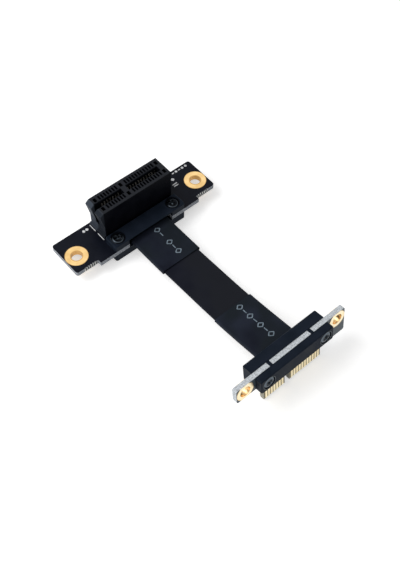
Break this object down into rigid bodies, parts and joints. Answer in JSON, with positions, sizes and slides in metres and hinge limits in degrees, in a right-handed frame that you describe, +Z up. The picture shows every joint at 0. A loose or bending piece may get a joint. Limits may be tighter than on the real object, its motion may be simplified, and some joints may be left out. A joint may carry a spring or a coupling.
{
  "type": "pcie extension cable",
  "caption": "Short flat ribbon cable joining a keyed card slot on a small drilled board to an upright edge-card board with gold fingers, clamped at both ends by screwed plastic covers.",
  "frame": {"origin": "middle of the bottom cover's underside, the flat face that the socket end rests on", "axes": "+X along both boards, towards the end of the long contact group; +Y from the card end to the socket end, along the cable; +Z up, out of the slot's mouth"},
  "size_m": [0.0528, 0.0765, 0.0159],
  "materials": {
    "board": "black solder mask over glass-epoxy board",
    "gold": "gold plating",
    "contact_gold": "gold-flashed spring metal",
    "slot_plastic": "glass-filled moulding",
    "solder": "tin solder",
    "cover_plastic": "fine-textured moulding",
    "black_screw": "black oxide",
    "cable_film": "soft satin film",
    "cable_sleeve": "soft satin jacket"
  },
  "bodies": {
    "root": {"socket_board": "board", "socket_hole_plating_left": "gold", "socket_hole_plating_right": "gold", "slot_base": "slot_plastic", "slot_front_wall": "slot_plastic", "slot_rear_wall": "slot_plastic", "slot_key": "slot_plastic", "slot_end_wall": "slot_plastic", "slot_contacts_front": "contact_gold", "slot_contacts_rear": "contact_gold", "slot_solder_joints": "solder", "socket_top_cover": "cover_plastic", "socket_bottom_cover": "cover_plastic", "socket_screw_left": "black_screw", "socket_screw_right": "black_screw", "cable_core": "cable_film", "cable_sleeve_socket_end": "cable_sleeve", "cable_sleeve_card_end": "cable_sleeve", "cable_wires_socket_end": "solder", "cable_wires_card_end": "solder", "card_board": "board", "card_hole_plating_left": "gold", "card_hole_plating_right": "gold", "card_fingers_front": "gold", "card_fingers_rear": "gold", "card_front_cover": "cover_plastic", "card_rear_cover": "cover_plastic", "card_screw_left": "black_screw", "card_screw_right": "black_screw"}
  },
  "joints": []
}
